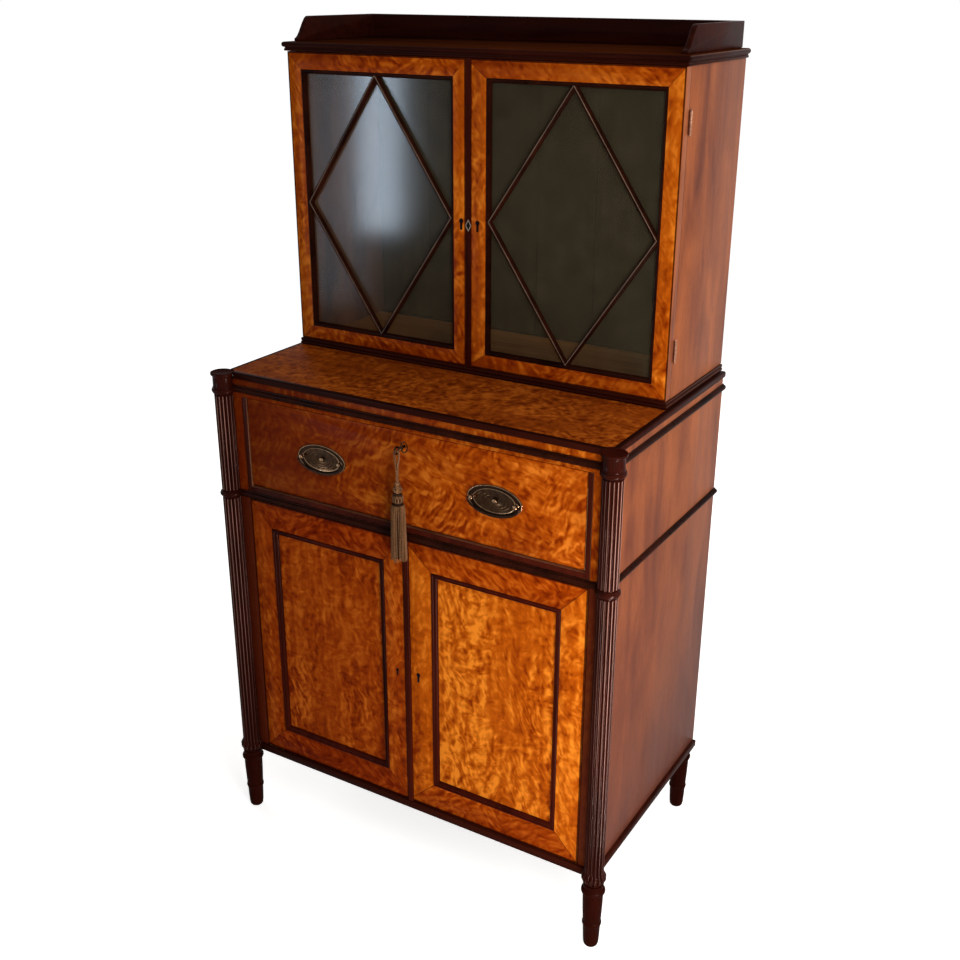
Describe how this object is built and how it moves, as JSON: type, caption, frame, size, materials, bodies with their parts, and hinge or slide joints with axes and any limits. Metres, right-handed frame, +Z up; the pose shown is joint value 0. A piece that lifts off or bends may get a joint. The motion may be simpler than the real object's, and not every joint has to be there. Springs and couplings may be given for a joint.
{
  "type": "secretaire cabinet",
  "caption": "Glazed cabinet on a desk with a fall-front writing drawer, reeded corner columns on turned legs and a panelled cupboard below.",
  "frame": {"origin": "on the floor, under the middle of the cabinet without its tassel", "axes": "+X to the cabinet's left seen from inside, the viewer's right; +Y towards its back; +Z up"},
  "size_m": [0.8082, 0.497, 1.514],
  "materials": {
    "satinwood": "figured satinwood veneer, polished",
    "crossbanding": "crossbanded satinwood veneer, polished",
    "mahogany": "mahogany, polished",
    "dark_mahogany": "dark mahogany, polished",
    "ebonised": "ebonised moulding, polished",
    "lining": "plain secondary timber, unpolished",
    "brass": "worn brass",
    "bronzed_brass": "dark bronzed brass",
    "glass": "clear crown glass",
    "cord": "drab gold silk"
  },
  "bodies": {
    "carcass": {"base_board": "ebonised", "lower_left_side": "mahogany", "lower_right_side": "mahogany", "lower_back": "lining", "face_frame": "crossbanding", "dust_board": "lining", "waist_moulding": "ebonised", "frieze_moulding": "ebonised", "desk_top": "satinwood", "left_column": "dark_mahogany", "right_column": "dark_mahogany", "rear_left_foot": "dark_mahogany", "rear_right_foot": "dark_mahogany", "upper_floor": "mahogany", "upper_left_side": "mahogany", "upper_right_side": "mahogany", "upper_back": "lining", "upper_top": "dark_mahogany", "gallery": "dark_mahogany", "upper_left_top_hinge": "brass", "upper_left_bottom_hinge": "brass", "upper_right_top_hinge": "brass", "upper_right_bottom_hinge": "brass", "lower_left_top_pivot": "brass", "lower_left_bottom_pivot": "brass", "lower_right_top_pivot": "brass", "lower_right_bottom_pivot": "brass"},
    "drawer": {"drawer_left_side": "mahogany", "drawer_right_side": "mahogany", "drawer_bottom": "mahogany", "drawer_back": "lining", "writing_bed": "mahogany", "pigeonhole_nest": "satinwood"},
    "fall": {"fall_front": "satinwood", "left_quadrant": "brass", "right_quadrant": "brass", "fall_lock": "brass", "left_handle_plate": "bronzed_brass", "right_handle_plate": "bronzed_brass"},
    "left_bail": {"left_bail": "bronzed_brass"},
    "right_bail": {"right_bail": "bronzed_brass"},
    "key": {"key": "bronzed_brass"},
    "tassel": {"tassel_cord": "cord", "tassel": "cord"},
    "left_small_drawer": {"left_small_drawer": "satinwood"},
    "right_small_drawer": {"right_small_drawer": "satinwood"},
    "upper_left_door": {"upper_left_door_frame": "crossbanding", "upper_left_astragals": "ebonised", "upper_left_glass": "glass"},
    "upper_right_door": {"upper_right_door_frame": "crossbanding", "upper_right_astragals": "ebonised", "upper_right_glass": "glass", "upper_meeting_bead": "dark_mahogany"},
    "lower_left_door": {"lower_left_door_frame": "crossbanding", "lower_left_panel": "satinwood", "lower_left_panel_moulding": "ebonised"},
    "lower_right_door": {"lower_right_door_frame": "crossbanding", "lower_right_panel": "satinwood", "lower_right_panel_moulding": "ebonised", "lower_meeting_bead": "dark_mahogany"}
  },
  "joints": [
    {"name": "drawer_slide", "type": "slide", "parent": "carcass", "child": "drawer", "axis": [0, -1, 0], "range_m": [0, 0.24]},
    {"name": "fall_hinge", "type": "hinge", "parent": "drawer", "child": "fall", "pos_m": [0, -0.20672, 0.7235], "axis": [1, 0, 0], "range_deg": [0, 90]},
    {"name": "left_bail_swing", "type": "hinge", "parent": "fall", "child": "left_bail", "pos_m": [-0.174, -0.22152, 0.801], "axis": [-1, 0, 0], "range_deg": [0, 90]},
    {"name": "right_bail_swing", "type": "hinge", "parent": "fall", "child": "right_bail", "pos_m": [0.174, -0.22152, 0.801], "axis": [-1, 0, 0], "range_deg": [0, 90]},
    {"name": "key_turn", "type": "hinge", "parent": "fall", "child": "key", "pos_m": [0, -0.23672, 0.86], "axis": [0, 1, 0], "range_deg": [0, 90], "deforming": ["tassel_cord", "tassel"]},
    {"name": "tassel_swing", "type": "hinge", "parent": "fall", "child": "tassel", "pos_m": [0, -0.23672, 0.86], "axis": [1, 0, 0], "range_deg": [-90, 0]},
    {"name": "left_small_drawer_slide", "type": "slide", "parent": "drawer", "child": "left_small_drawer", "axis": [0, -1, 0], "range_m": [0, 0.12]},
    {"name": "right_small_drawer_slide", "type": "slide", "parent": "drawer", "child": "right_small_drawer", "axis": [0, -1, 0], "range_m": [0, 0.12]},
    {"name": "upper_left_door_hinge", "type": "hinge", "parent": "carcass", "child": "upper_left_door", "pos_m": [-0.375, 0.01058, 1.2], "axis": [0, 0, -1], "range_deg": [0, 170]},
    {"name": "upper_right_door_hinge", "type": "hinge", "parent": "carcass", "child": "upper_right_door", "pos_m": [0.375, 0.01058, 1.2], "axis": [0, 0, 1], "range_deg": [0, 170]},
    {"name": "lower_left_door_hinge", "type": "hinge", "parent": "carcass", "child": "lower_left_door", "pos_m": [-0.3415, -0.21172, 0.42], "axis": [0, 0, -1], "range_deg": [0, 110], "deforming": ["tassel_cord", "tassel"]},
    {"name": "lower_right_door_hinge", "type": "hinge", "parent": "carcass", "child": "lower_right_door", "pos_m": [0.3415, -0.21172, 0.42], "axis": [0, 0, 1], "range_deg": [0, 110], "deforming": ["tassel_cord", "tassel"]}
  ],
  "couplings": [
    {"joint": "tassel_swing", "follows": "fall_hinge", "ratio": -1}
  ]
}
